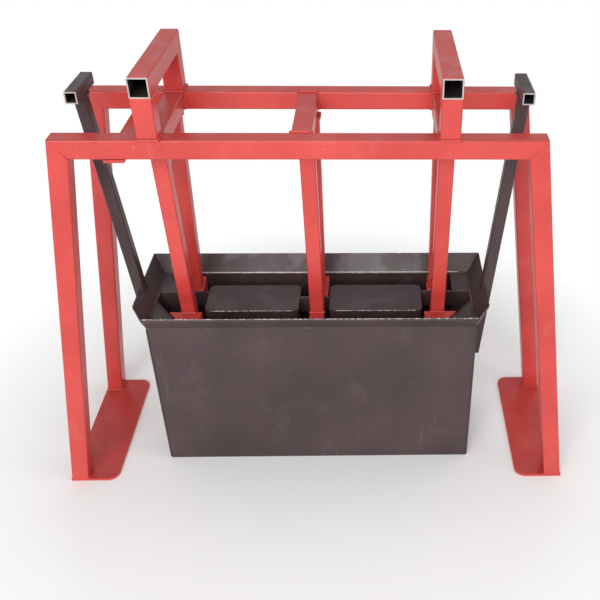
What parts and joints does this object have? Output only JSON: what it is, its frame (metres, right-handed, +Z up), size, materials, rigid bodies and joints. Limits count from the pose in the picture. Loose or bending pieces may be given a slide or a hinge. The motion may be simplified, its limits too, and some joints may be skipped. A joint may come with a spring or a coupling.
{
  "type": "concrete block mould",
  "caption": "Hand-operated mould for hollow concrete blocks: a red tube stand with stripper posts, and a lifting mould box with cores and side grips.",
  "frame": {"origin": "on the floor, at the centre of the stand's four feet", "axes": "+X along the mould's length to the right seen from its front, +Z up, front at -Y"},
  "size_m": [0.75, 0.232, 0.623],
  "materials": {
    "red_paint": "gloss vermilion paint over welded steel tube",
    "brown_paint": "dark brown paint over welded sheet steel, scuffed at the rim"
  },
  "bodies": {
    "stand": {"front_top_rail": "red_paint", "rear_top_rail": "red_paint", "left_front_leg": "red_paint", "left_rear_leg": "red_paint", "left_foot_plate": "red_paint", "left_cross_member": "red_paint", "left_handle_bar": "red_paint", "left_handle_front_post": "red_paint", "left_handle_rear_post": "red_paint", "right_front_leg": "red_paint", "right_rear_leg": "red_paint", "right_foot_plate": "red_paint", "right_cross_member": "red_paint", "right_handle_bar": "red_paint", "right_handle_front_post": "red_paint", "right_handle_rear_post": "red_paint", "middle_cross_member": "red_paint", "left_tie_strap": "red_paint", "left_front_stripper_post": "red_paint", "left_front_pad": "red_paint", "left_rear_stripper_post": "red_paint", "left_rear_pad": "red_paint", "middle_front_stripper_post": "red_paint", "middle_front_pad": "red_paint", "middle_rear_stripper_post": "red_paint", "middle_rear_pad": "red_paint", "right_front_stripper_post": "red_paint", "right_front_pad": "red_paint", "right_rear_stripper_post": "red_paint", "right_rear_pad": "red_paint"},
    "mould": {"front_wall": "brown_paint", "rear_wall": "brown_paint", "front_flare": "brown_paint", "rear_flare": "brown_paint", "middle_bridge": "brown_paint", "left_end_wall": "brown_paint", "left_flare": "brown_paint", "left_corner_flare": "brown_paint", "left_corner_plate": "brown_paint", "left_gusset": "brown_paint", "left_rear_filler": "brown_paint", "left_core": "brown_paint", "left_bridge": "brown_paint", "left_arm": "brown_paint", "left_grip": "brown_paint", "right_end_wall": "brown_paint", "right_flare": "brown_paint", "right_corner_flare": "brown_paint", "right_corner_plate": "brown_paint", "right_gusset": "brown_paint", "right_rear_filler": "brown_paint", "right_core": "brown_paint", "right_bridge": "brown_paint", "right_arm": "brown_paint", "right_grip": "brown_paint"}
  },
  "joints": [
    {"name": "mould_lift", "type": "slide", "parent": "stand", "child": "mould", "axis": [0, 0, 1], "range_m": [0, 0.232]}
  ]
}
